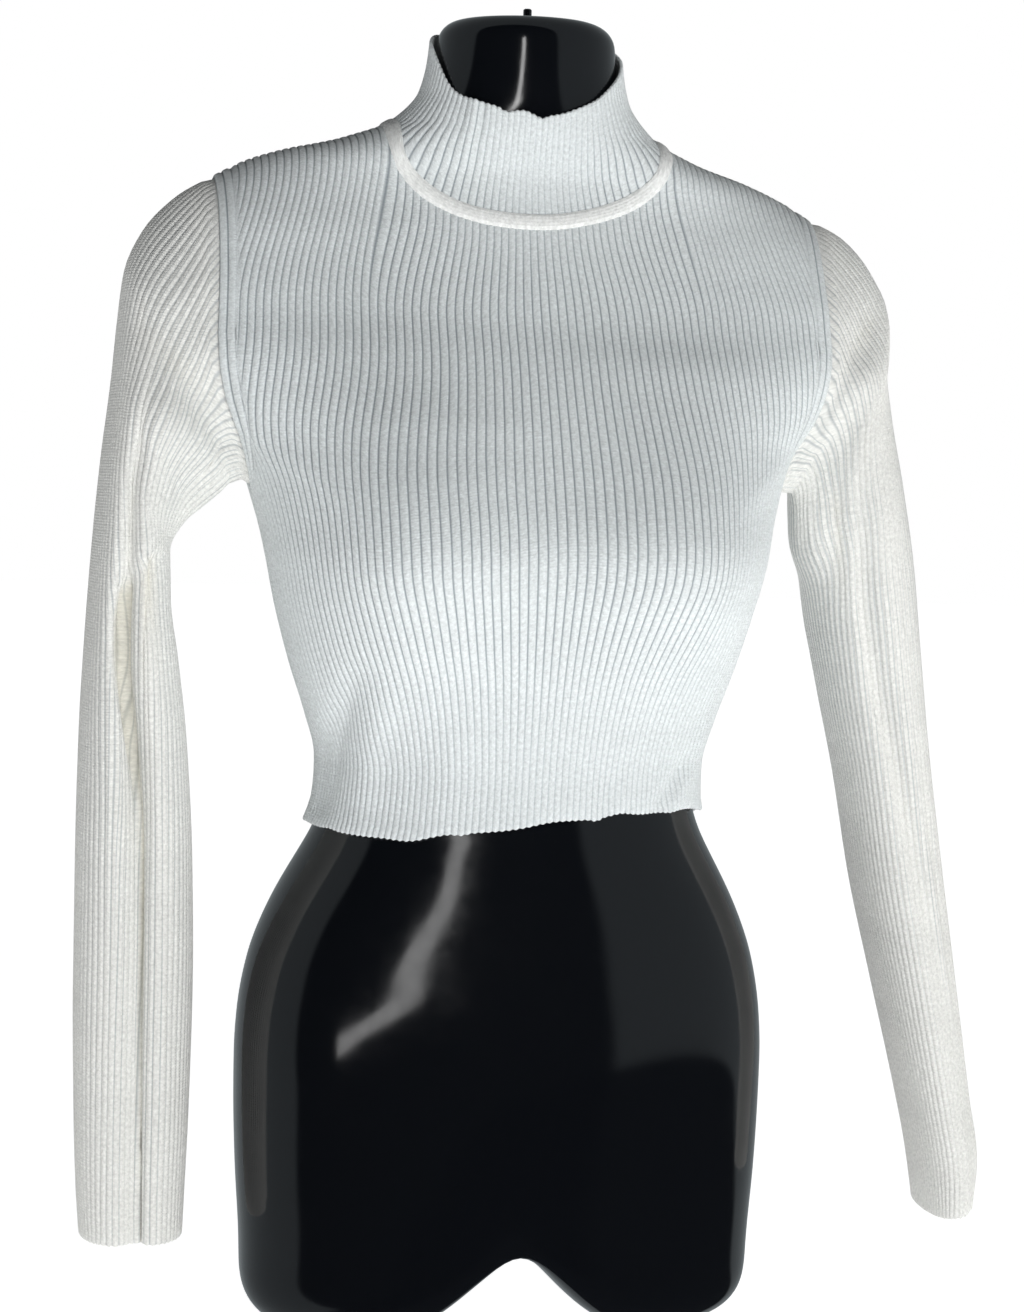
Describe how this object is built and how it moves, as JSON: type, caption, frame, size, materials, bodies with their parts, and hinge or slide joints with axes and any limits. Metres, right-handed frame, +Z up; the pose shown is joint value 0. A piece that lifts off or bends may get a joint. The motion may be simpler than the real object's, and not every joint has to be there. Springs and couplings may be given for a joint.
{
  "type": "long-sleeve crop top on a dress form",
  "caption": "Cropped rib-knit top with a standing mock neck and long open sleeves, worn by a smooth glossy limbless torso form that stands on its thigh stubs.",
  "frame": {"origin": "on the floor, under the middle of the whole part's box", "axes": "+Z up from the thigh stubs to the neck, -Y out of the chest, +X towards the right of someone who looks at the chest"},
  "size_m": [0.5346, 0.2366, 0.7493],
  "materials": {
    "rib_knit": "matte rib knit",
    "black_plastic": "high gloss"
  },
  "bodies": {
    "root": {"front_panel": "rib_knit", "back_panel": "rib_knit", "collar": "rib_knit", "neck_band": "rib_knit", "sleeve_left": "rib_knit", "sleeve_right": "rib_knit", "dress_form": "black_plastic", "neck_hook_stub": "black_plastic"}
  },
  "joints": []
}
